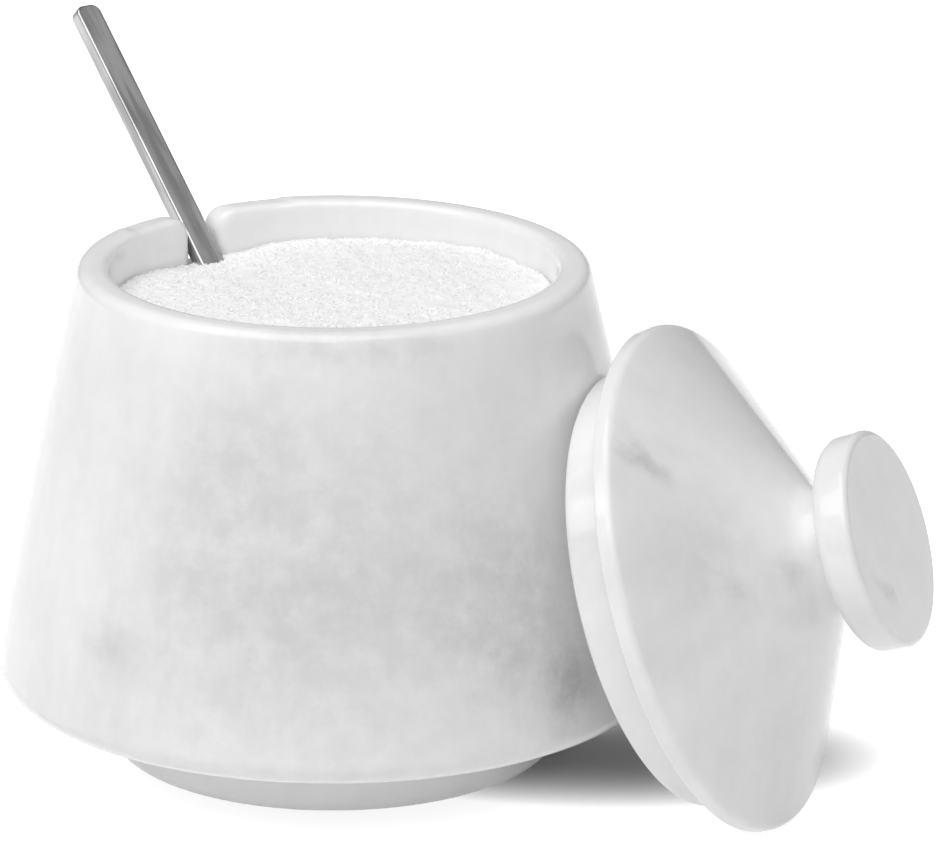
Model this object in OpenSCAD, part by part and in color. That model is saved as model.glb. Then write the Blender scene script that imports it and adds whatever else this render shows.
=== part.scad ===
// Salt cellar in turned marble: a bowl full of salt, a steel spoon standing in it
// and the lid taken off and leaning on the bowl's side. Lengths are millimetres.
// The origin is on the bowl's axis at the level of the table, with +Z up.

/* [Bowl] */
// Diameter of the belly's lower corner, before it is rounded
belly_d = 100.4; // [84:0.2:120]
// Height of that corner above the table
belly_z = 13; // [9:0.5:14]
// Roundness of the belly's lower corner
belly_round = 3; // [1:0.5:5]
// Thickness of the wall at the rim, before it is rounded
rim_wall = 4.5; // [3.05:0.05:8]
// Height of the rim above the table
bowl_h = 76; // [62:0.5:94]
// Outer rounding of the rim
rim_round = 1.8; // [1:0.2:3]
// Inner rounding of the rim
mouth_round = 1.2; // [0.4:0.2:1.6]
// How far the wall swells out between the rim and the belly
wall_swell = 0.5; // [0:0.1:1.5]
// Diameter of the bore that holds the salt
bore_d = 65; // [58:0.5:66]
// Height of the bore's floor above the table
bore_floor_z = 22; // [19:0.5:32]
// Rounding where the bore meets its floor
bore_floor_round = 9; // [2:0.5:14]

/* [Foot] */
// Diameter of the foot
foot_d = 66; // [58:1:76]
// Height above the table where the belly's underside meets the foot
foot_top_z = 15; // [14:0.5:18]
// Small rounding at the foot's lower edge
foot_round = 0.8; // [0.2:0.1:1.5]

/* [Spoon notch in the rim] */
// Width of the notch
notch_w = 5.2; // [5:0.2:9]
// Depth of the notch below the rim
notch_depth = 8.4; // [6:0.2:12]
// Rounding of the notch's upper corners
notch_lip = 3.6; // [0.5:0.1:4]
// Rounding of the notch's lower corners
notch_floor_round = 0.8; // [0.4:0.2:2.2]
// Direction of the notch, counted anticlockwise from +X
notch_az = 127.5; // [90:0.5:160]

/* [Base pad] */
// Diameter of the soft pad under the foot
pad_d = 42; // [30:1:56]
// Thickness of the pad
pad_t = 5; // [4.2:0.1:7]
// How far the pad stands out below the stone
pad_proud = 3.5; // [0.4:0.1:3.8]

/* [Salt] */
// Depth of the salt's edge below the rim
salt_below_rim = 8; // [4:0.2:20]
// How high the heap rises above its edge
salt_heap = 3.2; // [0.5:0.1:3.5]
// How far the top of the heap lies from the bowl's axis
salt_heap_off = 14; // [0:1:16]
// Direction of the heap's top, counted anticlockwise from +X
salt_heap_az = 50; // [0:1:360]

/* [Spoon] */
// Width of the handle
handle_w = 4.2; // [2.6:0.1:4.4]
// Thickness of the handle
handle_t = 2.2; // [1:0.1:2.6]
// Length of the spoon from the scoop's centre to the handle's end
spoon_l = 59; // [48:1:80]
// Rounding of the handle's end corners
handle_end_round = 1.4; // [0.3:0.1:1.9]
// Diameter of the round scoop
scoop_d = 14; // [9:0.5:18]
// Depth of the scoop
scoop_depth = 3.6; // [2:0.2:5]
// Thickness of the scoop's wall
scoop_t = 0.9; // [0.6:0.1:1.4]
// Radius of the shoulders between handle and scoop
shoulder_round = 6; // [2:0.5:12]
// How far the spoon leans from upright
spoon_lean = 43; // [20:1:60]
// Direction in which the handle leans, counted anticlockwise from +X
spoon_az = 130; // [90:1:160]
// Length of spoon between the scoop's centre and the notch's floor
spoon_in = 14; // [11:0.5:24]
// Sideways place of the handle in the notch, from the notch's middle
spoon_aside = 0.2; // [-0.2:0.1:0.2]

/* [Lid] */
// Height of the plug
plug_h = 7; // [4:0.2:10]
// Small rounding of the plug's edge
plug_round = 0.8; // [0.2:0.1:1.5]
// Rounding of the rim's edge on the side of the seat
lid_seat_round = 0.5; // [0.2:0.1:1]
// Thickness of the lid at its rim
lid_edge_t = 2.4; // [1.8:0.2:5]
// Rounding of the lid's upper edge
lid_edge_round = 1.4; // [0.4:0.1:1.6]
// Height of the neck's narrowest ring above the lid's rim seat
neck_z = 18.6; // [14:0.2:19]
// Diameter of the neck
neck_d = 17.4; // [10:0.2:22]
// Radius of the neck's hollow curve
neck_round = 4.5; // [2:0.5:5]
// Height of the knob's back edge above the lid's rim seat
knob_z = 23; // [22.6:0.2:32]
// Diameter of the knob's back edge
knob_back_d = 31.2; // [25:0.2:36]
// Thickness of the knob
knob_t = 5.7; // [4:0.1:9]
// Diameter of the knob's face
knob_d = 31.4; // [26:0.2:38]
// Rounding of the knob's face
knob_round = 1; // [0.4:0.1:1.6]
// Rounding of the knob's back edge
knob_back_round = 1.9; // [0.4:0.1:3]
// Radius of the hollow between the neck and the knob
knob_neck_round = 1.2; // [0.2:0.1:1.6]

/* [Lid beside the bowl] */
// How far the lid's axis rises above the table's plane
lid_lean = 19.6; // [12:0.2:30]
// Direction of the lid's axis, counted clockwise from +X
lid_axis_az = 20.5; // [0:0.5:40]
// Direction of the lid's middle seen from the bowl, counted clockwise from +X
lid_place_az = 20.5; // [0:0.5:40]

/* [Clearances] */
// Gap between the lid and the bowl that it leans on
lid_gap = 0.3; // [0.1:0.05:1]
// Gap between the spoon and what it touches
spoon_gap = 0.3; // [0.1:0.05:0.5]
// Gap all round between the lid's plug and the bore when the lid is on
plug_play = 0.6; // [0.3:0.05:4]
// Gap between the salt and the bore's wall
salt_gap = 0.1; // [0.05:0.05:0.3]

/* [Hidden] */
// Sides of a round surface
round_fn = 128;
// Steps of a rounded corner
corner_steps = 8;
// Steps of the swollen wall
swell_steps = 12;
// Steps of the scoop's edge
scoop_steps = 48;
// How far a cut runs past the surface that it opens
overrun = 2;
// Width of the scoop's lip as a share of its wall's thickness
lip_share = 0.6;
// Points round the lid's edge that are tried against the bowl
turn_steps = 72;
// Halvings that find the lid's distance
halving_steps = 24;

function unit(v) = v / norm(v);

// Turn from angle a to angle b by the short way
function turn(a, b) = (b - a + 540) % 360 - 180;

// The corner at p between its neighbours a and b, rounded with radius r
function rounded_corner(a, p, b, r) =
    let (
        u = unit(a - p),
        v = unit(b - p),
        half = acos(u * v) / 2,
        middle = p + unit(u + v) * r / sin(half),
        first = p + u * r / tan(half) - middle,
        last = p + v * r / tan(half) - middle,
        start = atan2(first.y, first.x),
        sweep = turn(start, atan2(last.y, last.x))
    )
    [for (i = [0:corner_steps])
        let (angle = start + sweep * i / corner_steps)
        middle + r * [cos(angle), sin(angle)]];

// Points on an arc round c from angle a to angle b, without the one numbered skip
function arc(c, r, a, b, steps, skip = -1) =
    [for (i = [0:steps])
        let (angle = a + (b - a) * i / steps)
        if (i != skip) c + r * [cos(angle), sin(angle)]];

// A closed outline from corners of the form [x, y, rounding]
function rounded(corners) =
    let (n = len(corners))
    [for (i = [0:n - 1])
        let (
            p = corners[i],
            a = corners[(i + n - 1) % n],
            b = corners[(i + 1) % n]
        )
        each p[2] > 0
            ? rounded_corner([a[0], a[1]], [p[0], p[1]], [b[0], b[1]], p[2])
            : [[p[0], p[1]]]];

// The bowl

belly_r = belly_d / 2;
bore_r = bore_d / 2;
rim_r = bore_r + rim_wall;
foot_r = foot_d / 2;
recess_z = pad_t;
wall_run = [rim_r - belly_r, bowl_h - belly_z];
wall_out = [wall_run.y, -wall_run.x] / norm(wall_run);
// Corners of the swollen wall, from the belly up to the rim
wall_corners = [for (i = [1:swell_steps - 1])
    let (
        share = i / swell_steps,
        p = [belly_r, belly_z] + wall_run * share + wall_out * wall_swell * 4 * share * (1 - share)
    )
    [p.x, p.y, 0]];
bowl_corners = concat(
    [
        [0, recess_z, 0],
        [pad_d / 2 + salt_gap, recess_z, 0],
        [pad_d / 2 + salt_gap, pad_proud, 0],
        [foot_r, pad_proud, foot_round],
        [foot_r, foot_top_z, 0],
        [belly_r, belly_z, belly_round]
    ],
    wall_corners,
    [
        [rim_r, bowl_h, rim_round],
        [bore_r, bowl_h, mouth_round],
        [bore_r, bore_floor_z, bore_floor_round],
        [0, bore_floor_z, 0]
    ]
);
bowl_outline = rounded(bowl_corners);

notch_floor_z = bowl_h - notch_depth;
// The notch's upper corners run out on a line that rises a little, clear of the rim's top
notch_run = 3 * notch_lip;
notch_rise = notch_lip / 8;
notch_outline = rounded([
    [-notch_w / 2 - notch_run, bowl_h + overrun, 0],
    [-notch_w / 2 - notch_run, bowl_h + notch_rise, 0],
    [-notch_w / 2, bowl_h, notch_lip],
    [-notch_w / 2, notch_floor_z, notch_floor_round],
    [notch_w / 2, notch_floor_z, notch_floor_round],
    [notch_w / 2, bowl_h, notch_lip],
    [notch_w / 2 + notch_run, bowl_h + notch_rise, 0],
    [notch_w / 2 + notch_run, bowl_h + overrun, 0]
]);

module bowl() {
    color("whitesmoke")
    difference() {
        rotate_extrude($fn = round_fn)
            polygon(bowl_outline);
        rotate([0, 0, notch_az])
            translate([bore_r / 2, 0, 0])
                rotate([90, 0, 90])
                    linear_extrude(belly_r)
                        polygon(notch_outline);
    }
}

// The pad glued into the foot's recess

pad_round = pad_proud / 4;

module base_pad() {
    color("dimgray")
    rotate_extrude($fn = round_fn)
        polygon(rounded([
            [0, 0, 0],
            [pad_d / 2, 0, pad_round],
            [pad_d / 2, recess_z, 0],
            [0, recess_z, 0]
        ]));
}

// The salt, a heap cut off by a large ball, with room for the spoon

salt_r = bore_r - salt_gap;
salt_edge_z = bowl_h - salt_below_rim;
heap_reach = salt_r + salt_heap_off;
heap_ball_r = (heap_reach * heap_reach + salt_heap * salt_heap) / (2 * salt_heap);

module salt() {
    color("white")
    difference() {
        intersection() {
            rotate_extrude($fn = round_fn)
                polygon(rounded([
                    [0, bore_floor_z, 0],
                    [salt_r, bore_floor_z, bore_floor_round],
                    [salt_r, bowl_h, 0],
                    [0, bowl_h, 0]
                ]));
            rotate([0, 0, salt_heap_az])
                translate([salt_heap_off, 0, salt_edge_z + salt_heap - heap_ball_r])
                    sphere(heap_ball_r, $fn = round_fn);
        }
        placed_spoon(spoon_gap);
    }
}

// The spoon, drawn with its handle along +Y and its scoop at the origin, opening to +Z

scoop_r = scoop_d / 2;
hollow_r = scoop_r - lip_share * scoop_t;
// Radius of the ball that hollows the scoop
scoop_ball_r = (hollow_r * hollow_r + scoop_depth * scoop_depth) / (2 * scoop_depth);
scoop_ball_z = scoop_ball_r - scoop_depth;

// The round between scoop and handle: its centre to one side, and the angle from scoop to centre
shoulder_x = handle_w / 2 + shoulder_round;
shoulder_y = sqrt(pow(scoop_r + shoulder_round, 2) - pow(shoulder_x, 2));
shoulder_a = atan2(shoulder_y, shoulder_x);

// The spoon's plan, widened by grow on every side: scoop, shoulder, handle's end, shoulder
function spoon_plan(grow) =
    let (
        w = handle_w / 2 + grow,
        l = spoon_l + grow,
        e = handle_end_round
    )
    concat(
        arc([0, 0], scoop_r + grow, 180 - shoulder_a, 360 + shoulder_a, scoop_steps),
        arc([shoulder_x, shoulder_y], shoulder_round - grow, 180 + shoulder_a, 180, corner_steps, 0),
        arc([w - e, l - e], e, 0, 90, corner_steps),
        arc([e - w, l - e], e, 90, 180, corner_steps),
        arc([-shoulder_x, shoulder_y], shoulder_round - grow, 0, -shoulder_a, corner_steps, corner_steps)
    );

module spoon_shape(grow) {
    depth = scoop_depth + scoop_t + 2 * grow;
    difference() {
        intersection() {
            translate([0, 0, -depth])
                linear_extrude(depth + grow)
                    polygon(spoon_plan(grow));
            union() {
                translate([0, 0, scoop_ball_z])
                    sphere(scoop_ball_r + scoop_t + grow, $fn = round_fn);
                translate([-scoop_d, scoop_r - scoop_t, -handle_t - grow])
                    cube([2 * scoop_d, spoon_l, handle_t + 2 * grow + overrun]);
            }
        }
        if (grow == 0)
            translate([0, 0, scoop_ball_z])
                sphere(scoop_ball_r, $fn = round_fn);
    }
}

// The spoon in its place: the handle's underside lies over the inner edge of the notch's floor
module placed_spoon(grow) {
    rotate([0, 0, notch_az])
        translate([bore_r, spoon_aside, notch_floor_z + spoon_gap])
            rotate([0, 0, spoon_az - notch_az - 90])
                rotate([90 - spoon_lean, 0, 0])
                    translate([0, -spoon_in, handle_t])
                        spoon_shape(grow);
}

module spoon() {
    color("silver")
    placed_spoon(0);
}

// The lid, drawn upright with its rim's seat at the origin

plug_r = bore_r - plug_play;
// The lid's rim lines up with the bowl's
lid_r = rim_r;
neck_r = neck_d / 2;
knob_r = knob_d / 2;
knob_back_r = knob_back_d / 2;
lid_outline = rounded([
    [0, -plug_h, 0],
    [plug_r, -plug_h, plug_round],
    [plug_r, 0, 0],
    [lid_r, 0, lid_seat_round],
    [lid_r, lid_edge_t, lid_edge_round],
    [neck_r, neck_z, neck_round],
    [neck_r, knob_z, knob_neck_round],
    [knob_back_r, knob_z, knob_back_round],
    [knob_r, knob_z + knob_t, knob_round],
    [0, knob_z + knob_t, 0]
]);

// The lid's place: its rim stands on the table and its edge comes within lid_gap of the bowl's side
lid_seat_z = max([for (p = lid_outline) p.x * cos(lid_lean) - p.y * sin(lid_lean)]);
lid_axis = [cos(lid_lean) * cos(lid_axis_az), -cos(lid_lean) * sin(lid_axis_az), sin(lid_lean)];
lid_across = [sin(lid_axis_az), cos(lid_axis_az), 0];
lid_rise = cross(lid_axis, -lid_across);
// The bowl's outer side as a table of height and radius
bowl_side = concat(
    [[0, belly_r], [belly_z, belly_r]],
    [for (p = bowl_outline) if (p.y > belly_z + belly_round && p.x > bore_r + rim_round) [p.y, p.x]],
    [[bowl_h, bore_r]]
);
edge_points = [for (p = lid_outline) if (p.x > plug_r - plug_round - overrun && p.y <= lid_edge_t) p];

// The smallest distance, counted level, between the lid's edges and the bowl's side,
// with the lid's seat at distance reach
function lid_clear(reach) =
    let (seat = [reach * cos(lid_place_az), -reach * sin(lid_place_az), lid_seat_z])
    min([for (e = edge_points, i = [0:turn_steps - 1])
        let (
            a = 360 * i / turn_steps,
            p = seat + lid_axis * e.y + e.x * (cos(a) * lid_across + sin(a) * lid_rise)
        )
        if (p.z < bowl_h) norm([p.x, p.y]) - lookup(p.z, bowl_side)]);

// Halving finds the distance at which that smallest distance is lid_gap
function lid_reach(near, far, steps) =
    steps == 0
        ? (near + far) / 2
        : let (mid = (near + far) / 2)
          lid_clear(mid) > lid_gap ? lid_reach(near, mid, steps - 1) : lid_reach(mid, far, steps - 1);

lid_distance = lid_reach(0, belly_r + 2 * lid_r + lid_gap, halving_steps);

module lid() {
    color("gainsboro")
    translate([lid_distance * cos(lid_place_az), -lid_distance * sin(lid_place_az), lid_seat_z])
        rotate([0, 0, -lid_axis_az])
            rotate([0, 90 - lid_lean, 0])
                rotate_extrude($fn = round_fn)
                    polygon(lid_outline);
}

bowl();
base_pad();
salt();
spoon();
lid();
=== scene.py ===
import math

import bmesh
import bpy
import numpy as np
from mathutils import Matrix, Vector


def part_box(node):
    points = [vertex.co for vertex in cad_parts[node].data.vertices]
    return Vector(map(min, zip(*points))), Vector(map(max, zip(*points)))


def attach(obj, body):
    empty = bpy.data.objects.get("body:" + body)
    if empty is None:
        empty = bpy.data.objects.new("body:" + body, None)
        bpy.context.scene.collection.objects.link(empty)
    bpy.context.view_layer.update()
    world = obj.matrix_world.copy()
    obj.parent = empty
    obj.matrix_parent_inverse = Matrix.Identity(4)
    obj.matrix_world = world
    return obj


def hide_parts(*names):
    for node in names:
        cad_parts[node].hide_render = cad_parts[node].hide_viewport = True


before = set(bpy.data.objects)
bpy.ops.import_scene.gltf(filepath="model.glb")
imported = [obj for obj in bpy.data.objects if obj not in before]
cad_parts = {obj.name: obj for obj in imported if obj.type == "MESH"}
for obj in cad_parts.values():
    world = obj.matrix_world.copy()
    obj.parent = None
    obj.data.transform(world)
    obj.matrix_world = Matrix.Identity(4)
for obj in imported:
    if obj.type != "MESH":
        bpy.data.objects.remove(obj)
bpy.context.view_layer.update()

# Sizes of the part in millimetres, as in the part's source, and metres in a millimetre
MM = 0.001
BELLY_R, BELLY_Z, BELLY_ROUND = 50.2, 13.0, 3.0
RIM_R, BOWL_H, RIM_ROUND, MOUTH_ROUND, WALL_SWELL = 37.0, 76.0, 1.8, 1.2, 0.5
BORE_R, BORE_FLOOR_Z, BORE_FLOOR_ROUND = 32.5, 22.0, 9.0
FOOT_R, FOOT_TOP_Z, FOOT_ROUND = 33.0, 15.0, 0.8
PAD_R, PAD_T, PAD_PROUD, SALT_GAP = 21.0, 5.0, 3.5, 0.1
NOTCH_W, NOTCH_DEPTH, NOTCH_LIP, NOTCH_FLOOR_ROUND, NOTCH_AZ = 5.2, 8.4, 3.6, 0.8, 127.5
# How far the notch's edges are polished round
NOTCH_EDGE_ROUND = 0.9
HANDLE_W, HANDLE_T, SPOON_L, HANDLE_END_ROUND, HANDLE_EDGE = 4.2, 2.2, 59.0, 1.4, 0.16
SCOOP_R, SCOOP_DEPTH, SCOOP_T, SHOULDER_ROUND = 7.0, 3.6, 0.9, 6.0
# The flat lip round the scoop's hollow, as a share of the scoop's thickness
LIP_SHARE = 0.6
SPOON_LEAN, SPOON_AZ, SPOON_IN, SPOON_ASIDE, SPOON_GAP = 43.0, 130.0, 14.0, 0.2, 0.3
PLUG_R, PLUG_H, PLUG_ROUND, PLUG_NOOK_ROUND = 31.9, 7.0, 0.8, 0.2
LID_R, LID_SEAT_ROUND, LID_EDGE_T, LID_EDGE_ROUND = 37.0, 0.5, 2.4, 1.4
NECK_Z, NECK_R, NECK_ROUND, KNOB_NECK_ROUND = 18.6, 8.7, 4.5, 1.2
KNOB_Z, KNOB_BACK_R, KNOB_BACK_ROUND, KNOB_T, KNOB_R, KNOB_ROUND = 23.0, 15.6, 1.9, 5.7, 15.7, 1.0
LID_LEAN, LID_AXIS_AZ = 19.6, 20.5
NOTCH_FLOOR_Z = BOWL_H - NOTCH_DEPTH


# Camera

# The photograph's width in pixels, its focal length in pixels, and the place and turn that match it
PHOTO_W, FOCAL_PX, SENSOR_MM = 938, 5500, 36
CAMERA_AT = Vector((19.66, -764.61, 295.84)) * MM
PITCH, ROLL = math.radians(17.75), math.radians(0.30)
CLIP_START = 0.05


def make_camera():
    data = bpy.data.cameras.new("photo_camera")
    data.sensor_width = SENSOR_MM
    data.lens = FOCAL_PX / PHOTO_W * SENSOR_MM
    data.clip_start = CLIP_START
    camera = bpy.data.objects.new("photo_camera", data)
    bpy.context.scene.collection.objects.link(camera)
    right = Vector((1, 0, 0))
    up = Vector((0, math.sin(PITCH), math.cos(PITCH)))
    back = Vector((0, -math.cos(PITCH), math.sin(PITCH)))
    x_axis = math.cos(ROLL) * right + math.sin(ROLL) * up
    y_axis = math.cos(ROLL) * up - math.sin(ROLL) * right
    turn = Matrix((x_axis, y_axis, back)).transposed().to_4x4()
    camera.matrix_world = Matrix.Translation(CAMERA_AT) @ turn
    bpy.context.scene.camera = camera


# Outlines

CORNER_STEPS = 24
# Points along the bowl's wall; the first of its own lies clear of the belly's rounding
WALL_STEPS, FIRST_WALL_STEP = 48, 3


def rounded(corners):
    """A closed outline from corners (x, y, rounding), with an arc of CORNER_STEPS at each round one."""
    points = []
    for i, (x, y, r) in enumerate(corners):
        p = Vector((x, y))
        if r == 0:
            points.append((x, y))
            continue
        before = Vector(corners[i - 1][:2])
        after = Vector(corners[(i + 1) % len(corners)][:2])
        u, v = (before - p).normalized(), (after - p).normalized()
        half = u.angle(v) / 2
        middle = p + (u + v).normalized() * r / math.sin(half)
        first = p + u * r / math.tan(half) - middle
        last = p + v * r / math.tan(half) - middle
        start = math.atan2(first.y, first.x)
        sweep = (math.atan2(last.y, last.x) - start + 3 * math.pi) % (2 * math.pi) - math.pi
        for k in range(CORNER_STEPS + 1):
            a = start + sweep * k / CORNER_STEPS
            points.append((middle.x + r * math.cos(a), middle.y + r * math.sin(a)))
    return points


def bowl_outline():
    foot = Vector((BELLY_R, BELLY_Z))
    run = Vector((RIM_R, BOWL_H)) - foot
    out = Vector((run.y, -run.x)).normalized()
    wall = []
    for i in range(FIRST_WALL_STEP, WALL_STEPS):
        share = i / WALL_STEPS
        p = foot + run * share + out * WALL_SWELL * 4 * share * (1 - share)
        wall.append((p.x, p.y, 0))
    return rounded([
        (0, PAD_T, 0),
        (PAD_R + SALT_GAP, PAD_T, 0),
        (PAD_R + SALT_GAP, PAD_PROUD, 0),
        (FOOT_R, PAD_PROUD, FOOT_ROUND),
        (FOOT_R, FOOT_TOP_Z, 0),
        (BELLY_R, BELLY_Z, BELLY_ROUND),
        *wall,
        (RIM_R, BOWL_H, RIM_ROUND),
        (BORE_R, BOWL_H, MOUTH_ROUND),
        (BORE_R, BORE_FLOOR_Z, BORE_FLOOR_ROUND),
        (0, BORE_FLOOR_Z, 0),
    ])


def lid_outline():
    return rounded([
        (0, -PLUG_H, 0),
        (PLUG_R, -PLUG_H, PLUG_ROUND),
        (PLUG_R, 0, PLUG_NOOK_ROUND),
        (LID_R, 0, LID_SEAT_ROUND),
        (LID_R, LID_EDGE_T, LID_EDGE_ROUND),
        (NECK_R, NECK_Z, NECK_ROUND),
        (NECK_R, KNOB_Z, KNOB_NECK_ROUND),
        (KNOB_BACK_R, KNOB_Z, KNOB_BACK_ROUND),
        (KNOB_R, KNOB_Z + KNOB_T, KNOB_ROUND),
        (0, KNOB_Z + KNOB_T, 0),
    ])


# Meshes

TURNS = 256
LATHE_STEP = 1.0
# How a skin settles on its surface: rounds, slope steps to a cell, and the least slope taken
SETTLE_ROUNDS, SLOPE_PARTS, LEAST_SLOPE = 4, 20, 0.2


def mesh_object(name, points, faces, smooth=True):
    """A new object from points in metres and faces."""
    mesh = bpy.data.meshes.new(name)
    mesh.from_pydata([tuple(p) for p in points], [], [tuple(f) for f in faces])
    mesh.validate()
    mesh.update()
    mesh.polygons.foreach_set("use_smooth", [smooth] * len(mesh.polygons))
    made = bpy.data.objects.new(name, mesh)
    bpy.context.scene.collection.objects.link(made)
    return made


def dense(outline, step):
    """The outline with points added so that no stretch is longer than step."""
    points = []
    for (x0, y0), (x1, y1) in zip(outline, outline[1:]):
        n = max(1, math.ceil(math.hypot(x1 - x0, y1 - y0) / step))
        points += [(x0 + (x1 - x0) * k / n, y0 + (y1 - y0) * k / n) for k in range(n)]
    return points + [outline[-1]]


def lathe(name, outline):
    """A turned solid round Z from an outline (radius, height) in millimetres, from axis to axis."""
    ring = [(r, z) for r, z in outline if r > 0]
    points = [(0, 0, outline[0][1] * MM), (0, 0, outline[-1][1] * MM)]
    for r, z in ring:
        for k in range(TURNS):
            a = 2 * math.pi * k / TURNS
            points.append((r * math.cos(a) * MM, r * math.sin(a) * MM, z * MM))
    faces = []
    for k in range(TURNS):
        n = (k + 1) % TURNS
        faces.append((0, 2 + n, 2 + k))
        top = 2 + (len(ring) - 1) * TURNS
        faces.append((1, top + k, top + n))
        for i in range(len(ring) - 1):
            a, b = 2 + i * TURNS, 2 + (i + 1) * TURNS
            faces.append((a + k, a + n, b + n, b + k))
    return mesh_object(name, points, faces)


def polygon_distance(points, outline):
    """Signed distance of 2-D points from a closed outline, negative inside."""
    best = np.full(len(points), np.inf)
    inside = np.zeros(len(points), bool)
    for (x0, y0), (x1, y1) in zip(outline, outline[1:] + outline[:1]):
        ex, ey = x1 - x0, y1 - y0
        length = ex * ex + ey * ey
        if length < 1e-12:
            continue
        wx, wy = points[:, 0] - x0, points[:, 1] - y0
        t = np.clip((wx * ex + wy * ey) / length, 0, 1)
        best = np.minimum(best, (wx - t * ex) ** 2 + (wy - t * ey) ** 2)
        crosses = (y0 > points[:, 1]) != (y1 > points[:, 1])
        if ey != 0:
            inside ^= crosses & (points[:, 0] < x0 + (points[:, 1] - y0) * ex / ey)
    return np.where(inside, -1, 1) * np.sqrt(best)


class Field:
    """The signed distance from an outline, kept on a fine lattice and read between its points."""

    def __init__(self, outline, low, high, step):
        self.low, self.step = np.array(low, float), step
        self.size = np.ceil((np.array(high) - self.low) / step).astype(int) + 1
        x = self.low[0] + step * np.arange(self.size[0])
        y = self.low[1] + step * np.arange(self.size[1])
        grid = np.stack(np.meshgrid(x, y, indexing="ij"), -1).reshape(-1, 2)
        self.values = polygon_distance(grid, outline).reshape(self.size)

    def __call__(self, x, y):
        u = np.clip((x - self.low[0]) / self.step, 0, self.size[0] - 1.001)
        v = np.clip((y - self.low[1]) / self.step, 0, self.size[1] - 1.001)
        i, j = u.astype(int), v.astype(int)
        a, b = u - i, v - j
        f = self.values
        return ((f[i, j] * (1 - a) + f[i + 1, j] * a) * (1 - b)
                + (f[i, j + 1] * (1 - a) + f[i + 1, j + 1] * a) * b)


def soft_max(a, b, r):
    """The larger of two distances, with the edge between the two surfaces rounded by about r."""
    h = np.clip(0.5 - 0.5 * (b - a) / (2 * r), 0, 1)
    return b * (1 - h) + a * h + 2 * r * h * (1 - h)


def slope(distance, points, step):
    """The distance field's gradient at the points."""
    g = np.zeros_like(points)
    for axis in range(3):
        off = np.zeros(3)
        off[axis] = step
        g[:, axis] = (distance(points + off) - distance(points - off)) / (2 * step)
    return g


def skin(distance, low, high, cell):
    """Points and quads on a distance field's zero surface, one point in each cell that it crosses."""
    axes = [np.arange(a, b + cell, cell) for a, b in zip(low, high)]
    grid = np.stack(np.meshgrid(*axes, indexing="ij"), -1)
    shape = np.array(grid.shape[:3])
    d = distance(grid.reshape(-1, 3)).reshape(shape)
    inside = d < 0
    total = np.zeros((*(shape + 1), 3))
    count = np.zeros(shape + 1, int)
    edges = []
    for axis in range(3):
        near = [slice(None)] * 3
        far = [slice(None)] * 3
        near[axis], far[axis] = slice(None, -1), slice(1, None)
        i = np.argwhere(inside[tuple(near)] != inside[tuple(far)])
        j = i.copy()
        j[:, axis] += 1
        d0, d1 = d[tuple(i.T)], d[tuple(j.T)]
        point = grid[tuple(i.T)].copy()
        point[:, axis] += cell * d0 / (d0 - d1)
        b, c = (axis + 1) % 3, (axis + 2) % 3
        cells = []
        for ob, oc in ((1, 1), (0, 1), (0, 0), (1, 0)):
            k = i + 1
            k[:, b] -= ob
            k[:, c] -= oc
            cells.append(k)
            np.add.at(total, tuple(k.T), point)
            np.add.at(count, tuple(k.T), 1)
        edges.append((cells, d0 < 0))
    used = count > 0
    index = np.full(count.shape, -1)
    index[used] = np.arange(used.sum())
    points = total[used] / count[used][:, None]
    faces = []
    for cells, outward in edges:
        quad = np.stack([index[tuple(k.T)] for k in cells], -1)
        quad[~outward] = quad[~outward][:, ::-1]
        faces.append(quad)
    for _ in range(SETTLE_ROUNDS):
        g = slope(distance, points, cell / SLOPE_PARTS)
        points -= g * (distance(points) / np.maximum((g * g).sum(1), LEAST_SLOPE))[:, None]
    return points, np.concatenate(faces)


# The bowl: a turned solid with the spoon's notch, whose edges are polished round

BOWL_CELL = 0.6
FIELD_STEP = 0.12
# Room round an outline in its field, and round a solid in its skin
MARGIN, SKIN_MARGIN = 2.0, 1.0
# Half-width and depth of the notch's field, and how far from the notch the field is read
NOTCH_FIELD, NOTCH_REACH = 20, 18
# How far the notch's lips run out to the sides and how high they end, in parts of their rounding
LIP_RUN, LIP_RISE = 3, 1 / 8


def notch_outline():
    """The notch as seen along the bowl's radius, with lips that round out over the rim."""
    w, top = NOTCH_W / 2, BOWL_H + 3 * MARGIN
    run = NOTCH_LIP * LIP_RUN
    rise = NOTCH_LIP * LIP_RISE
    return rounded([
        (-w - run, top, 0),
        (-w - run, BOWL_H + rise, 0),
        (-w, BOWL_H, NOTCH_LIP),
        (-w, NOTCH_FLOOR_Z, NOTCH_FLOOR_ROUND),
        (w, NOTCH_FLOOR_Z, NOTCH_FLOOR_ROUND),
        (w, BOWL_H, NOTCH_LIP),
        (w + run, BOWL_H + rise, 0),
        (w + run, top, 0),
    ])


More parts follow.
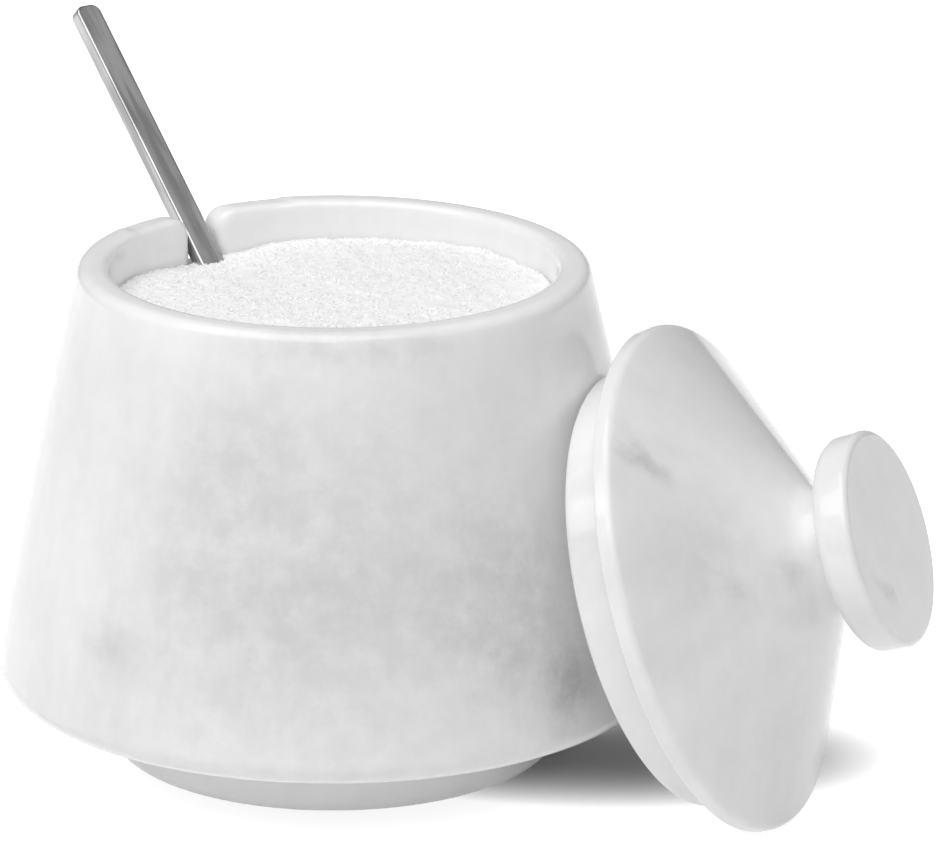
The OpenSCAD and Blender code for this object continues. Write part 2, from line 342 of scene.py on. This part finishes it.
def make_bowl():
    turned = Field(bowl_outline(), (-MARGIN, -MARGIN), (BELLY_R + MARGIN, BOWL_H + MARGIN), FIELD_STEP)
    notch = Field(notch_outline(), (-NOTCH_FIELD, BOWL_H - NOTCH_FIELD), (NOTCH_FIELD, BOWL_H + MARGIN),
                  FIELD_STEP)
    a = math.radians(NOTCH_AZ)
    out, across = np.array((math.cos(a), math.sin(a))), np.array((-math.sin(a), math.cos(a)))

    def distance(p):
        stone = turned(np.hypot(p[:, 0], p[:, 1]), p[:, 2])
        near = (p[:, :2] @ out > 0) & (p[:, 2] > BOWL_H - NOTCH_REACH)
        near &= np.abs(p[:, :2] @ across) < NOTCH_REACH
        q = p[near]
        cut = notch(q[:, :2] @ across, q[:, 2])
        stone[near] = soft_max(stone[near], -cut, NOTCH_EDGE_ROUND)
        return stone

    r = BELLY_R + SKIN_MARGIN
    low, high = (-r, -r, PAD_PROUD - SKIN_MARGIN), (r, r, BOWL_H + SKIN_MARGIN)
    points, faces = skin(distance, low, high, BOWL_CELL)
    bowl = mesh_object("bowl_stone", points * MM, faces)
    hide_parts("bowl")
    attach(bowl, "cellar")
    return bowl


# The lid, turned in one piece and leaning on the bowl

def make_lid():
    lid = lathe("lid_stone", dense(lid_outline(), LATHE_STEP))
    turn = (Matrix.Rotation(math.radians(-LID_AXIS_AZ), 4, "Z")
            @ Matrix.Rotation(math.radians(90 - LID_LEAN), 4, "Y"))
    lid.data.transform(turn)
    low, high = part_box("lid")
    corners = np.array([v.co for v in lid.data.vertices])
    middle = Vector((corners.min(0) + corners.max(0)) / 2)
    lid.data.transform(Matrix.Translation((low + high) / 2 - middle))
    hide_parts("lid")
    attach(lid, "lid")
    return lid


# The spoon: a flat bar that widens to a round scoop, all edges eased

SPOON_CELL, SPOON_FIELD_STEP = 0.22, 0.1
# Roundings where the bar runs into the scoop's shell and at the hollow's edge
SCOOP_JOIN_ROUND, LIP_ROUND = 0.5, 0.2
SCOOP_STEPS, SHOULDER_STEPS, END_STEPS = 96, 16, 12


def spoon_outline():
    """The spoon's plan with the scoop at the origin and the handle along +Y."""
    x = HANDLE_W / 2 + SHOULDER_ROUND
    y = math.sqrt((SCOOP_R + SHOULDER_ROUND) ** 2 - x * x)
    a = math.atan2(y, x)
    w, e = HANDLE_W / 2, HANDLE_END_ROUND
    end = SPOON_L - e

    def arc(cx, cy, r, start, stop, steps):
        turns = [start + (stop - start) * k / steps for k in range(steps + 1)]
        return [(cx + r * math.cos(t), cy + r * math.sin(t)) for t in turns]

    pi = math.pi
    return (arc(0, 0, SCOOP_R, pi - a, 2 * pi + a, SCOOP_STEPS)
            + arc(x, y, SHOULDER_ROUND, pi + a, pi, SHOULDER_STEPS)[1:]
            + arc(w - e, end, e, 0, pi / 2, END_STEPS)
            + arc(e - w, end, e, pi / 2, pi, END_STEPS)
            + arc(-x, y, SHOULDER_ROUND, 0, -a, SHOULDER_STEPS)[:-1])


def spoon_place():
    """From the spoon's own axes to its place: leaning outward over the notch's floor."""
    return (Matrix.Rotation(math.radians(NOTCH_AZ), 4, "Z")
            @ Matrix.Translation((BORE_R, SPOON_ASIDE, NOTCH_FLOOR_Z + SPOON_GAP))
            @ Matrix.Rotation(math.radians(SPOON_AZ - NOTCH_AZ - 90), 4, "Z")
            @ Matrix.Rotation(math.radians(90 - SPOON_LEAN), 4, "X")
            @ Matrix.Translation((0, -SPOON_IN, HANDLE_T)))


def make_spoon():
    reach = SCOOP_R + MARGIN
    plan = Field(spoon_outline(), (-reach, -reach), (reach, SPOON_L + MARGIN), SPOON_FIELD_STEP)
    hollow_r = SCOOP_R - LIP_SHARE * SCOOP_T
    ball_r = (hollow_r ** 2 + SCOOP_DEPTH ** 2) / (2 * SCOOP_DEPTH)
    ball_z = ball_r - SCOOP_DEPTH

    def distance(p):
        edge = plan(p[:, 0], p[:, 1])
        ball = np.sqrt(p[:, 0] ** 2 + p[:, 1] ** 2 + (p[:, 2] - ball_z) ** 2)
        bar = np.maximum(-HANDLE_T - p[:, 2], SCOOP_R - SCOOP_T - p[:, 1])
        shell = ball - ball_r - SCOOP_T
        body = -soft_max(-bar, -shell, SCOOP_JOIN_ROUND)
        top = p[:, 2]
        form = soft_max(soft_max(body, top, HANDLE_EDGE), edge, HANDLE_EDGE)
        return soft_max(form, ball_r - ball, LIP_ROUND)

    side = SCOOP_R + SKIN_MARGIN
    low = (-side, -side, -SCOOP_DEPTH - SCOOP_T - SKIN_MARGIN)
    points, faces = skin(distance, low, (side, SPOON_L + SKIN_MARGIN, SKIN_MARGIN), SPOON_CELL)
    spoon = mesh_object("spoon_steel", points, faces)
    spoon.data.transform(Matrix.Scale(MM, 4) @ spoon_place())
    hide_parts("spoon")
    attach(spoon, "spoon")
    return spoon


# The salt: grains lie in a low heap that dips at the spoon

SALT_CELL = 0.38
SALT_EDGE_BELOW = 6.4
HEAP_AZ, HEAP_R, HEAP_SPREAD, HEAP_RISE = 45, 20, 20, 1.7
DIP_SPREAD, DIP_DEPTH = 9, 1.2
DOME_RISE = 0.6
# Bumps of the heap: height, size across and the seed of each
SALT_BUMPS = [(0.35, 9, 1), (0.16, 3.1, 2), (0.11, 1.1, 3), (0.09, 0.5, 4)]
NOISE_CELLS = 256


def smooth_noise(x, y, size, seed):
    """Soft noise from -1 to 1 with bumps about size across, the same at each run."""
    rng = np.random.default_rng(seed)
    n = NOISE_CELLS
    table = rng.uniform(-1, 1, (n, n))
    u, v = x / size, y / size
    i, j = np.floor(u).astype(int), np.floor(v).astype(int)
    a, b = u - i, v - j
    a, b = a * a * (3 - 2 * a), b * b * (3 - 2 * b)
    i, j = i % n, j % n
    next_i, next_j = (i + 1) % n, (j + 1) % n
    return ((table[i, j] * (1 - a) + table[next_i, j] * a) * (1 - b)
            + (table[i, next_j] * (1 - a) + table[next_i, next_j] * a) * b)


def salt_height(x, y):
    """The heap's height: a dome with a rise at the back right, a dip at the spoon and small bumps."""
    heap = math.radians(HEAP_AZ)
    hx, hy = HEAP_R * math.cos(heap), HEAP_R * math.sin(heap)
    dip = math.radians(NOTCH_AZ)
    dx, dy = BORE_R * math.cos(dip), BORE_R * math.sin(dip)
    z = BOWL_H - SALT_EDGE_BELOW
    z = z + HEAP_RISE * np.exp(-((x - hx) ** 2 + (y - hy) ** 2) / HEAP_SPREAD ** 2)
    z = z - DIP_DEPTH * np.exp(-((x - dx) ** 2 + (y - dy) ** 2) / DIP_SPREAD ** 2)
    z = z + DOME_RISE * (1 - (x * x + y * y) / BORE_R ** 2)
    for height, size, seed in SALT_BUMPS:
        z = z + height * smooth_noise(x, y, size, seed)
    return z


# Loose grains: how many, and their least and largest size
GRAINS, GRAIN_SIZE = 6000, (0.14, 0.34)
# The share of them that lies along the edge, and how far in these lie in parts of the largest size
EDGE_SHARE, INSET = 0.15, 0.9
# How far a grain's middle stands above the heap, in parts of its size
PROUD = 0.1
GRAIN_SEED, HEAP_SEED = 8, 5
# The heap's points are shifted by up to so much, across and in height
SALT_SHIFT, SALT_ROUGH = 0.1, 0.06
# A little over the diagonal of a cell, in cells
DIAGONAL = 1.42
# A radius less than this from the wall's is at the wall, and points closer than MERGE are one
HAIR, MERGE = 1e-6, 0.01
CUBE = np.array([(x, y, z) for x in (-0.5, 0.5) for y in (-0.5, 0.5) for z in (-0.5, 0.5)])
CUBE_FACES = np.array([
    (0, 1, 3, 2), (4, 6, 7, 5), (0, 4, 5, 1), (2, 3, 7, 6), (0, 2, 6, 4), (1, 5, 7, 3)])


def salt_grains():
    """Loose cubes that lie turned at random on the heap, with more of them along its edge."""
    rng = np.random.default_rng(GRAIN_SEED)
    wall, largest = BORE_R - SALT_GAP, GRAIN_SIZE[1]
    r = (wall - largest) * np.sqrt(rng.uniform(0, 1, GRAINS))
    r = np.where(rng.uniform(0, 1, GRAINS) < EDGE_SHARE, wall - largest * INSET, r)
    a = rng.uniform(0, 2 * math.pi, GRAINS)
    x, y = r * np.cos(a), r * np.sin(a)
    size = rng.uniform(*GRAIN_SIZE, GRAINS)
    turns = np.linalg.qr(rng.normal(size=(GRAINS, 3, 3)))[0]
    middle = np.column_stack([x, y, salt_height(x, y) + PROUD * size])
    points = middle[:, None] + size[:, None, None] * np.einsum("kj,nij->nki", CUBE, turns)
    faces = CUBE_FACES[None] + len(CUBE) * np.arange(GRAINS)[:, None, None]
    return points.reshape(-1, 3), faces.reshape(-1, 4)


def close_below(points, faces, z):
    """Adds walls straight down from the open edge of a sheet that faces up, and a floor at height z."""
    sides = [side for f in faces for side in zip(f, f[1:] + f[:1])]
    known = set(sides)
    after = {a: b for a, b in sides if (b, a) not in known}
    edge = [min(after)]
    while after[edge[-1]] != edge[0]:
        edge.append(after[edge[-1]])
    low = {v: len(points) + k for k, v in enumerate(edge)}
    points += [(*points[v][:2], z) for v in edge]
    faces += [(b, a, low[a], low[b]) for a, b in zip(edge, edge[1:] + edge[:1])]
    faces.append([low[v] for v in reversed(edge)])


def make_salt():
    r = BORE_R - SALT_GAP
    n = math.ceil(r / SALT_CELL)
    points, faces, index = [], [], {}
    rng = np.random.default_rng(HEAP_SEED)
    for i in range(-n, n + 1):
        for j in range(-n, n + 1):
            x, y = i * SALT_CELL, j * SALT_CELL
            reach = math.hypot(x, y)
            if reach > r + SALT_CELL * DIAGONAL:
                continue
            if reach > r:
                x, y = x * r / reach, y * r / reach
            else:
                x, y = x + rng.uniform(-SALT_SHIFT, SALT_SHIFT), y + rng.uniform(-SALT_SHIFT, SALT_SHIFT)
            index[i, j] = len(points)
            points.append((x, y))
    xy = np.array(points)
    z = salt_height(xy[:, 0], xy[:, 1]) + rng.uniform(-SALT_ROUGH, SALT_ROUGH, len(xy))
    for (i, j), a in index.items():
        quad = [index.get(k) for k in ((i, j), (i + 1, j), (i + 1, j + 1), (i, j + 1))]
        if None in quad:
            continue
        spread = xy[quad]
        if np.hypot(*spread.T).min() < r - HAIR:
            faces.append(quad)
    top = np.column_stack([xy, z])
    sheet = mesh_object("salt_heap", top * MM, faces)
    form = bmesh.new()
    form.from_mesh(sheet.data)
    bmesh.ops.delete(form, geom=[v for v in form.verts if not v.link_faces], context="VERTS")
    bmesh.ops.remove_doubles(form, verts=form.verts, dist=MERGE * MM)
    form.to_mesh(sheet.data)
    form.free()
    points = [v.co[:] for v in sheet.data.vertices]
    faces = [f.vertices[:] for f in sheet.data.polygons]
    bpy.data.objects.remove(sheet)
    close_below(points, faces, (BORE_FLOOR_Z + BORE_FLOOR_ROUND) * MM)
    grains, grain_faces = salt_grains()
    faces += [tuple(f) for f in grain_faces + len(points)]
    points += [tuple(p) for p in grains * MM]
    salt = mesh_object("salt_heap", points, faces, smooth=False)
    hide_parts("salt")
    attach(salt, "cellar")
    return salt


# Materials

WHITE = "#FFFFFF"


def colour(code):
    """A colour from sRGB hex to the linear values that shaders take."""
    parts = [int(code[i:i + 2], 16) / 255 for i in (1, 3, 5)]
    return (*[c / 12.92 if c <= 0.04045 else ((c + 0.055) / 1.055) ** 2.4 for c in parts], 1.0)


def add(tree, kind, inputs=(), **settings):
    """A new node with its settings; each input, by name or number, gets a value or a socket's link."""
    made = tree.nodes.new(kind)
    for key, value in settings.items():
        setattr(made, key, value)
    for key, value in dict(inputs).items():
        if isinstance(value, bpy.types.NodeSocket):
            tree.links.new(value, made.inputs[key])
        else:
            made.inputs[key].default_value = value
    return made


def new_material(name):
    made = bpy.data.materials.new(name)
    made.use_nodes = True
    made.node_tree.nodes.clear()
    return made, made.node_tree


def millimetres(tree, scale=(1, 1, 1)):
    """The object's own coordinates in millimetres, stretched by scale."""
    place = add(tree, "ShaderNodeTexCoord").outputs["Object"]
    size = tuple(s / MM for s in scale)
    return add(tree, "ShaderNodeMapping", {"Vector": place, "Scale": size}).outputs["Vector"]


def finish_material(made, tree, shader):
    out = add(tree, "ShaderNodeOutputMaterial", {"Surface": shader})
    out.is_active_output = True
    return made


# Clouds, veins and painted shade where the photograph has them: middle and half-sizes in millimetres, turn
# in degrees, strength. The first six lie on the bowl's front, the others on the lid's cone, neck and knob.
CLOUDS_AND_PAINTED_SHADE = [
    # Painted shade: a broad darkening over the whole front of the bowl
    ((-8, -42, 42), (46, 22, 52), (0, 0, 0), 0.30),
    ((-13, -38, 58), (13, 10, 15), (0, 25, 0), 0.10),
    ((5, -37, 75), (36, 7, 5), (0, 0, 0), 0.24),
    ((-31, -35, 29), (7, 7, 7), (0, 0, 0), 0.20),
    ((35, -34, 23), (9, 9, 10), (0, 0, 0), 0.50),
    # Painted shade: the bowl's right side, darker next to the lid
    ((27, -38, 36), (20, 16, 30), (0, 0, 0), 0.40),
    ((53, -42, 46), (15, 14, 13), (0, 0, 0), 0.14),
    ((44, -39, 58.5), (7, 6, 2.2), (0, 38, 0), 0.50),
    ((56, -42, 42), (8, 3, 1.5), (0, 39, 20), 0.16),
    ((64.6, -36.6, 41), (5, 5, 5), (0, 0, 0), 0.30),
    ((78, -38, 39), (7, 2, 2), (0, 39, 53), 0.40),
]
# How coarse the clouds' edges wander, and how far
WANDER_SIZE, WANDER = 7, 6

# The stone's own pattern in millimetres: soft clouds, a mottle, and upright streaks' width and length.
# The crystals of marble, well under a millimetre, are too fine to show, so the mottle is drawn coarser.
CLOUD_SIZE, MOTTLE_SIZE, STREAK_SIZE = 26, 4, (4, 4, 40)
# The faint clouds, and the painted shade that they carry on the stone's outer surface, fade out toward the
# bore between these distances from the bowl's axis, so the bore and the rim's top stay lighter
PAINTED_SHADE_FULL_R, PAINTED_SHADE_NONE_R = RIM_R + 3.5, RIM_R - 1
# The stone's white, and the grey of its clouds and of the painted shade laid over them
MARBLE_WHITE, MARBLE_GREY_AND_SHADE = "#FAFAFA", "#BEBEC0"


def cloud_and_painted_shade(tree, place):
    """The listed clouds' and painted shade's darkness added up, with edges that wander."""
    wander = add(tree, "ShaderNodeTexNoise", {
        "Vector": place, "Scale": 1 / (WANDER_SIZE * MM), "Detail": 4.0, "Roughness": 0.6})
    off = add(tree, "ShaderNodeVectorMath", {
        0: wander.outputs["Color"], 1: (0.5, 0.5, 0.5)}, operation="SUBTRACT")
    off = add(tree, "ShaderNodeVectorMath", {0: off.outputs["Vector"], "Scale": WANDER * MM},
              operation="SCALE")
    moved = add(tree, "ShaderNodeVectorMath", {0: place, 1: off.outputs["Vector"]}, operation="ADD")
    total = 0.0
    for middle, half, turn, strength in CLOUDS_AND_PAINTED_SHADE:
        local = add(tree, "ShaderNodeMapping", {
            "Vector": moved.outputs["Vector"], "Location": Vector(middle) * MM,
            "Rotation": [math.radians(t) for t in turn], "Scale": Vector(half) * MM},
            vector_type="TEXTURE")
        away = add(tree, "ShaderNodeVectorMath", {0: local.outputs["Vector"]}, operation="LENGTH")
        dark = add(tree, "ShaderNodeMapRange", {
            "Value": away.outputs["Value"], "To Min": strength, "To Max": 0.0},
            interpolation_type="SMOOTHSTEP")
        total = add(tree, "ShaderNodeMath", {0: total, 1: dark.outputs["Result"]},
                    operation="ADD").outputs[0]
    return total


def polished_white_marble():
    """Turned and polished calcite marble: white, with faint grey clouds, a mottle, soft short veins, and
    painted shade on the stone's outer surface and the bowl's front, which leaves the bore and the rim's top
    lighter.
    """
    made, tree = new_material("polished_white_marble")
    place = add(tree, "ShaderNodeTexCoord").outputs["Object"]
    upright = millimetres(tree, scale=tuple(1 / s for s in STREAK_SIZE))
    cloud = add(tree, "ShaderNodeTexNoise", {
        "Vector": place, "Scale": 1 / (CLOUD_SIZE * MM), "Detail": 5.0, "Roughness": 0.6,
        "Distortion": 0.3})
    mottle = add(tree, "ShaderNodeTexNoise", {
        "Vector": place, "Scale": 1 / (MOTTLE_SIZE * MM), "Detail": 5.0, "Roughness": 0.68})
    streak = add(tree, "ShaderNodeTexNoise", {
        "Vector": upright, "Scale": 1.0, "Detail": 3.0, "Roughness": 0.55})
    faint = add(tree, "ShaderNodeMapRange", {
        "Value": cloud.outputs["Fac"], "From Min": 0.42, "From Max": 0.70, "To Min": 0.12, "To Max": 0.26},
        interpolation_type="SMOOTHSTEP")
    flat = add(tree, "ShaderNodeVectorMath", {0: place, 1: (1.0, 1.0, 0.0)}, operation="MULTIPLY")
    radius = add(tree, "ShaderNodeVectorMath", {0: flat.outputs["Vector"]}, operation="LENGTH")
    painted_shade_mask = add(tree, "ShaderNodeMapRange", {
        "Value": radius.outputs["Value"], "From Min": PAINTED_SHADE_NONE_R * MM, "From Max": PAINTED_SHADE_FULL_R * MM},
        interpolation_type="SMOOTHSTEP")
    # Painted shade: the stone's outer surface is darker than its bore and the rim's top, which stay lighter
    faint_clouds_and_painted_shade = add(tree, "ShaderNodeMath", {0: faint.outputs["Result"], 1: painted_shade_mask.outputs["Result"]},
               operation="MULTIPLY")
    broken = add(tree, "ShaderNodeMapRange", {
        "Value": mottle.outputs["Fac"], "From Min": 0.32, "From Max": 0.62, "To Min": 0.55, "To Max": 1.15})
    chosen = add(tree, "ShaderNodeMath", {0: cloud_and_painted_shade(tree, place), 1: broken.outputs["Result"]},
                 operation="MULTIPLY")
    shade = add(tree, "ShaderNodeMath", {0: faint_clouds_and_painted_shade.outputs[0], 1: chosen.outputs[0]}, operation="ADD",
                use_clamp=True)
    stone = add(tree, "ShaderNodeMix", {
        "Factor": shade.outputs[0], 6: colour(MARBLE_WHITE), 7: colour(MARBLE_GREY_AND_SHADE)}, data_type="RGBA")
    grain = add(tree, "ShaderNodeMapRange", {
        "Value": mottle.outputs["Fac"], "From Min": 0.3, "From Max": 0.7, "To Min": 1.015, "To Max": 0.985})
    strip = add(tree, "ShaderNodeMapRange", {
        "Value": streak.outputs["Fac"], "From Min": 0.3, "From Max": 0.7, "To Min": 0.98, "To Max": 1.01})
    both = add(tree, "ShaderNodeMath", {0: grain.outputs["Result"], 1: strip.outputs["Result"]},
               operation="MULTIPLY")
    tinted = add(tree, "ShaderNodeVectorMath", {0: stone.outputs[2], "Scale": both.outputs[0]},
                 operation="SCALE")
    shader = add(tree, "ShaderNodeBsdfPrincipled", {
        "Base Color": tinted.outputs["Vector"], "Roughness": 0.10, "IOR": 1.5,
        "Subsurface Weight": 0.3, "Subsurface Radius": (1.0, 1.0, 1.0), "Subsurface Scale": 2.5 * MM})
    return finish_material(made, tree, shader.outputs["BSDF"])


# Salt grains and the lumps that they form, in millimetres. Real grains are about 0.3 mm, two pixels of the
# render, so their relief is drawn a little coarser to show.
SALT_GRAIN, SALT_LUMP = 0.45, 1.6


def fine_salt():
    """Evaporated table salt: fine clear cubes that heap to a matte white with tiny shaded gaps."""
    made, tree = new_material("fine_salt")
    flat = millimetres(tree)
    grains = add(tree, "ShaderNodeTexVoronoi", {"Vector": flat, "Scale": 1 / SALT_GRAIN})
    lumps = add(tree, "ShaderNodeTexNoise", {
        "Vector": flat, "Scale": 1 / SALT_LUMP, "Detail": 4.0, "Roughness": 0.7})
    shade = add(tree, "ShaderNodeMapRange", {
        "Value": lumps.outputs["Fac"], "From Min": 0.35, "From Max": 0.6})
    white = add(tree, "ShaderNodeMix", {
        "Factor": shade.outputs["Result"], 6: colour("#F6F6F6"), 7: colour("#FEFEFE")}, data_type="RGBA")
    relief = add(tree, "ShaderNodeBump", {
        "Height": grains.outputs["Distance"], "Strength": 0.2, "Distance": 0.1 * MM})
    shader = add(tree, "ShaderNodeBsdfPrincipled", {
        "Base Color": white.outputs[2], "Roughness": 0.6, "IOR": 1.54, "Normal": relief.outputs["Normal"],
        "Subsurface Weight": 0.1, "Subsurface Radius": (1.0, 1.0, 1.0), "Subsurface Scale": 0.5 * MM})
    return finish_material(made, tree, shader.outputs["BSDF"])


# Scratches and wider worn streaks per millimetre: across, along and through the spoon. Real brushing is
# finer than a pixel of the render, so the scratches are drawn coarser, as far as it takes to show them.
SCRATCHES, STREAKS = (4, 0.12, 4), (0.6, 0.07, 0.6)


def brushed_stainless_steel():
    """Stainless steel, brushed lengthwise and lightly polished: long soft scratches smear reflections."""
    made, tree = new_material("brushed_stainless_steel")
    turn = spoon_place().to_euler("XYZ")
    place = add(tree, "ShaderNodeTexCoord").outputs["Object"]
    along = add(tree, "ShaderNodeVectorRotate", {"Vector": place, "Rotation": turn},
                rotation_type="EULER_XYZ", invert=True).outputs["Vector"]
    stretch = add(tree, "ShaderNodeVectorMath", {0: along, 1: [s / MM for s in SCRATCHES]},
                  operation="MULTIPLY")
    scratches = add(tree, "ShaderNodeTexNoise", {
        "Vector": stretch.outputs["Vector"], "Scale": 1.0, "Detail": 3.0})
    rough = add(tree, "ShaderNodeMapRange", {
        "Value": scratches.outputs["Fac"], "To Min": 0.22, "To Max": 0.34})
    wide = add(tree, "ShaderNodeVectorMath", {0: along, 1: [s / MM for s in STREAKS]},
               operation="MULTIPLY")
    streak = add(tree, "ShaderNodeTexNoise", {
        "Vector": wide.outputs["Vector"], "Scale": 1.0, "Detail": 2.0})
    worn = add(tree, "ShaderNodeMapRange", {
        "Value": streak.outputs["Fac"], "From Min": 0.35, "From Max": 0.65},
        interpolation_type="SMOOTHSTEP")
    steel = add(tree, "ShaderNodeMix", {
        "Factor": worn.outputs["Result"], 6: colour("#A2A2A2"), 7: colour("#C8C8C8")}, data_type="RGBA")
    relief = add(tree, "ShaderNodeBump", {
        "Height": scratches.outputs["Fac"], "Strength": 0.15, "Distance": 0.02 * MM})
    shader = add(tree, "ShaderNodeBsdfPrincipled", {
        "Base Color": steel.outputs[2], "Metallic": 1.0, "Roughness": rough.outputs["Result"],
        "Normal": relief.outputs["Normal"]})
    return finish_material(made, tree, shader.outputs["BSDF"])


# The pebble grain of the rubber in millimetres
RUBBER_PEBBLE = 0.5


def moulded_rubber():
    """A moulded rubber disc: mid grey, matte, with a faint pebble grain."""
    made, tree = new_material("moulded_rubber")
    grain = add(tree, "ShaderNodeTexNoise", {
        "Vector": millimetres(tree), "Scale": 1 / RUBBER_PEBBLE, "Detail": 3.0})
    tone = add(tree, "ShaderNodeMix", {
        "Factor": grain.outputs["Fac"], 6: colour("#6E6E6E"), 7: colour("#7C7C7C")}, data_type="RGBA")
    relief = add(tree, "ShaderNodeBump", {
        "Height": grain.outputs["Fac"], "Strength": 0.3, "Distance": 0.05 * MM})
    shader = add(tree, "ShaderNodeBsdfPrincipled", {
        "Base Color": tone.outputs[2], "Roughness": 0.75, "IOR": 1.5, "Normal": relief.outputs["Normal"]})
    return finish_material(made, tree, shader.outputs["BSDF"])


def dress(piece, material):
    piece.data.materials.clear()
    piece.data.materials.append(material)


# Floor, light and background

FLOOR_REACH = 6.0
# Where the floor's glow is weakest, a fixed patch of painted shadow beside the lid, how far that reaches,
# how fast it rises, and the glow elsewhere, painted light that whitens the floor's shadows for the camera
PAINTED_SHADOW_AT, PAINTED_SHADOW_HALF = Vector((40, 0, 0)) * MM, Vector((43, 22, 43)) * MM
PAINTED_SHADOW_POWER, PAINTED_GLOW = 3.0, 0.85
# The floor's colour for light that bounces off it, and the darker grey that the camera sees under the glow:
# painted shade that deepens the floor's shadows
FLOOR_WHITE, FLOOR_SEEN_PAINTED_GREY = "#F8F8F8", "#C4C4C4"
# The world's light on the object, and what the camera sees of it
WORLD_LIGHT, WORLD_SEEN = 0.26, 1.0
# Lamps: name, place and size in metres, power in watts; all aim at one point
LAMPS_AIM = Vector((0.02, 0, 0.04))
LAMPS = [
    ("left_softbox", (-1.7, -0.35, 0.75), (1.6, 1.4), 2.3),
    ("front_fill", (0.2, -2.1, 0.45), (2.6, 1.4), 2.5),
    ("top_softbox", (-0.27, -0.40, 1.02), (1.4, 1.1), 10.8),
    ("right_card", (0.95, 0.17, 0.95), (0.8, 0.8), 0.6),
]


def white_floor():
    """Smooth white paper that glows for the camera as painted light, less so beside the lid, where the real
    shadow is deepened by a darker grey that the camera sees: painted shadow that stays in place.
    """
    made, tree = new_material("white_paper")
    path = add(tree, "ShaderNodeLightPath")
    seen = add(tree, "ShaderNodeMath", {
        0: path.outputs["Is Camera Ray"], 1: path.outputs["Is Glossy Ray"]}, operation="MAXIMUM")
    place = add(tree, "ShaderNodeTexCoord").outputs["Object"]
    local = add(tree, "ShaderNodeMapping", {"Vector": place, "Location": PAINTED_SHADOW_AT, "Scale": PAINTED_SHADOW_HALF},
                vector_type="TEXTURE")
    away = add(tree, "ShaderNodeVectorMath", {0: local.outputs["Vector"]}, operation="LENGTH")
    share = add(tree, "ShaderNodeMath", {0: away.outputs["Value"], 1: 1.0}, operation="MINIMUM")
    share = add(tree, "ShaderNodeMath", {0: share.outputs[0], 1: PAINTED_SHADOW_POWER}, operation="POWER")
    strength = add(tree, "ShaderNodeMath", {0: share.outputs[0], 1: PAINTED_GLOW}, operation="MULTIPLY")
    matte = add(tree, "ShaderNodeBsdfDiffuse", {"Color": colour(FLOOR_WHITE)})
    glow = add(tree, "ShaderNodeEmission", {"Color": colour(WHITE), "Strength": strength.outputs[0]})
    # Painted shade: the camera sees this darker grey floor plus the glow, while bounced light sees the
    # white one
    grey = add(tree, "ShaderNodeBsdfDiffuse", {"Color": colour(FLOOR_SEEN_PAINTED_GREY)})
    both = add(tree, "ShaderNodeAddShader", {0: grey.outputs[0], 1: glow.outputs[0]})
    mixed = add(tree, "ShaderNodeMixShader", {
        0: seen.outputs[0], 1: matte.outputs[0], 2: both.outputs[0]})
    return finish_material(made, tree, mixed.outputs[0])


def make_floor():
    r = FLOOR_REACH
    floor = mesh_object("floor", [(-r, -r, 0), (r, -r, 0), (r, r, 0), (-r, r, 0)], [(0, 1, 2, 3)])
    dress(floor, white_floor())


def make_world():
    world = bpy.data.worlds.new("studio")
    bpy.context.scene.world = world
    world.use_nodes = True
    tree = world.node_tree
    tree.nodes.clear()
    path = add(tree, "ShaderNodeLightPath")
    soft = add(tree, "ShaderNodeBackground", {"Color": colour(WHITE), "Strength": WORLD_LIGHT})
    white = add(tree, "ShaderNodeBackground", {"Color": colour(WHITE), "Strength": WORLD_SEEN})
    mixed = add(tree, "ShaderNodeMixShader", {
        0: path.outputs["Is Camera Ray"], 1: soft.outputs[0], 2: white.outputs[0]})
    add(tree, "ShaderNodeOutputWorld", {"Surface": mixed.outputs[0]})


def area_light(name, at, size, power):
    data = bpy.data.lights.new(name, "AREA")
    data.shape = "RECTANGLE"
    data.size, data.size_y = size
    data.energy = power
    lamp = bpy.data.objects.new(name, data)
    bpy.context.scene.collection.objects.link(lamp)
    lamp.location = at
    lamp.rotation_euler = (LAMPS_AIM - Vector(at)).to_track_quat("-Z", "Y").to_euler()


make_camera()
make_world()
for lamp in LAMPS:
    area_light(*lamp)
make_floor()
marble = polished_white_marble()
dress(make_bowl(), marble)
dress(make_lid(), marble)
dress(make_salt(), fine_salt())
dress(make_spoon(), brushed_stainless_steel())
dress(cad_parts["base_pad"], moulded_rubber())
bpy.context.scene.view_settings.view_transform = "Standard"
